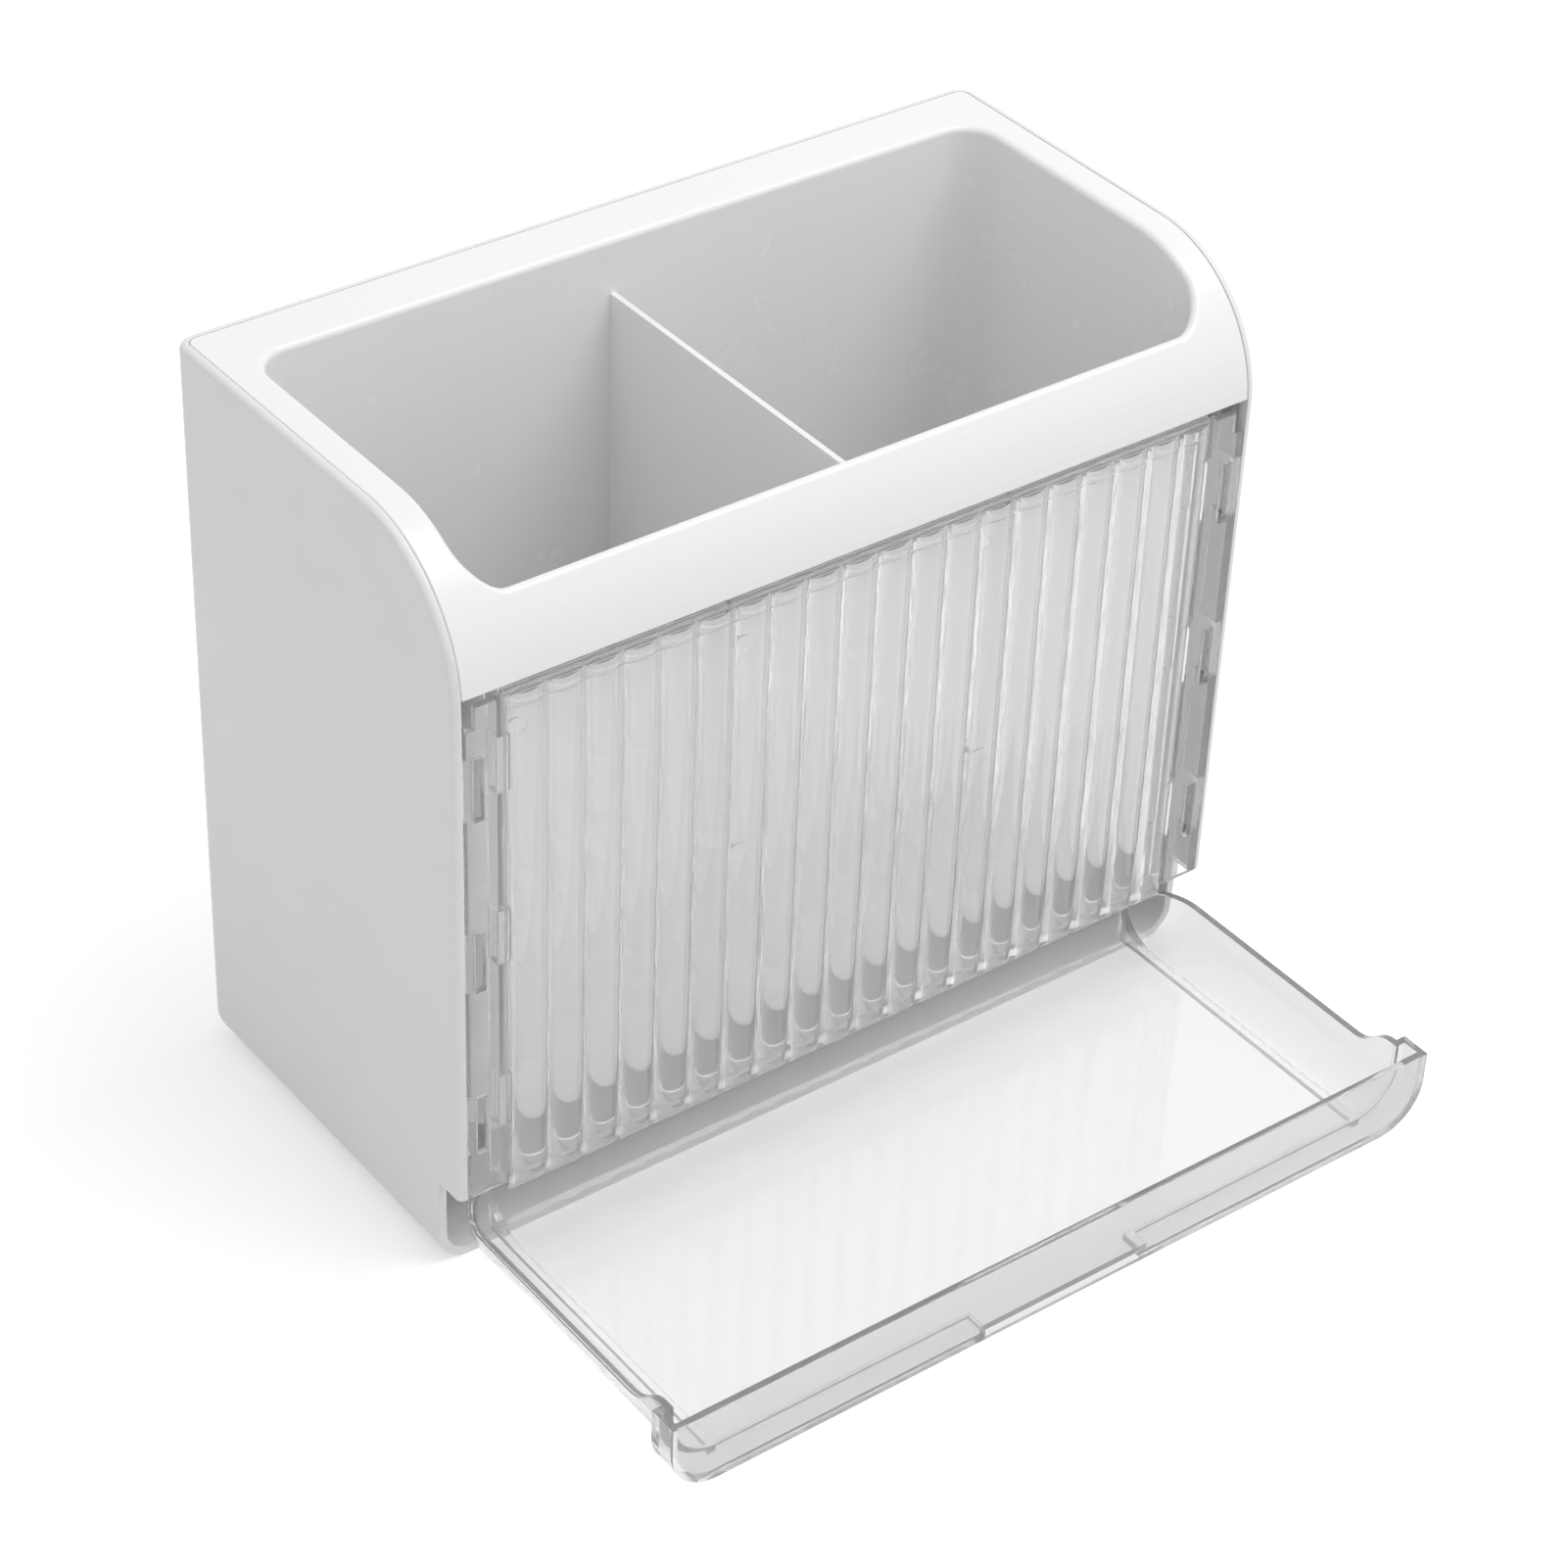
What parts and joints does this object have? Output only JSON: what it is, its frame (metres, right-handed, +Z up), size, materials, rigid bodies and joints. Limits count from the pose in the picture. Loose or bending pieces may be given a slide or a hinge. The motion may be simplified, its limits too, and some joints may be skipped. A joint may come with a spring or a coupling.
{
  "type": "wall-mounted utensil holder",
  "caption": "Open-topped utensil bin in a white casing with a clear fluted front, a pull-out clear drip tray and hooks for a wall.",
  "frame": {"origin": "on the wall plane, midway between the two wall hooks, 160 mm above the underside", "axes": "+Z up, +Y into the wall, so the open front and the tray face -Y, +X to the right seen from the front"},
  "size_m": [0.25, 0.2196, 0.221],
  "materials": {
    "casing_white": "fine satin moulded ABS",
    "bin_white": "polished moulded polypropylene",
    "clear_plastic": "clear polystyrene",
    "fluted_clear_plastic": "clear polystyrene with flutes",
    "tray_clear_plastic": "clear polystyrene",
    "hook_plastic": "moulded ABS",
    "adhesive_foam": "acrylic foam tape"
  },
  "bodies": {
    "casing": {"outer_shell": "casing_white", "front_frame": "clear_plastic", "fluted_window": "fluted_clear_plastic"},
    "bin": {"utensil_bin": "bin_white"},
    "tray": {"drip_tray": "tray_clear_plastic"},
    "hook_left": {"wall_hook_left": "hook_plastic", "adhesive_pad_left": "adhesive_foam"},
    "hook_right": {"wall_hook_right": "hook_plastic", "adhesive_pad_right": "adhesive_foam"}
  },
  "joints": [
    {"name": "bin_lift", "type": "slide", "parent": "casing", "child": "bin", "axis": [0, 0, 1], "range_m": [0, 0.19]},
    {"name": "tray_slide", "type": "slide", "parent": "casing", "child": "tray", "axis": [0, 1, 0], "range_m": [-0.03, 0.0936]},
    {"name": "hook_left_slide", "type": "slide", "parent": "casing", "child": "hook_left", "axis": [0, 0, -1], "range_m": [0, 0.0074]},
    {"name": "hook_right_slide", "type": "slide", "parent": "casing", "child": "hook_right", "axis": [0, 0, -1], "range_m": [0, 0.0074]}
  ]
}
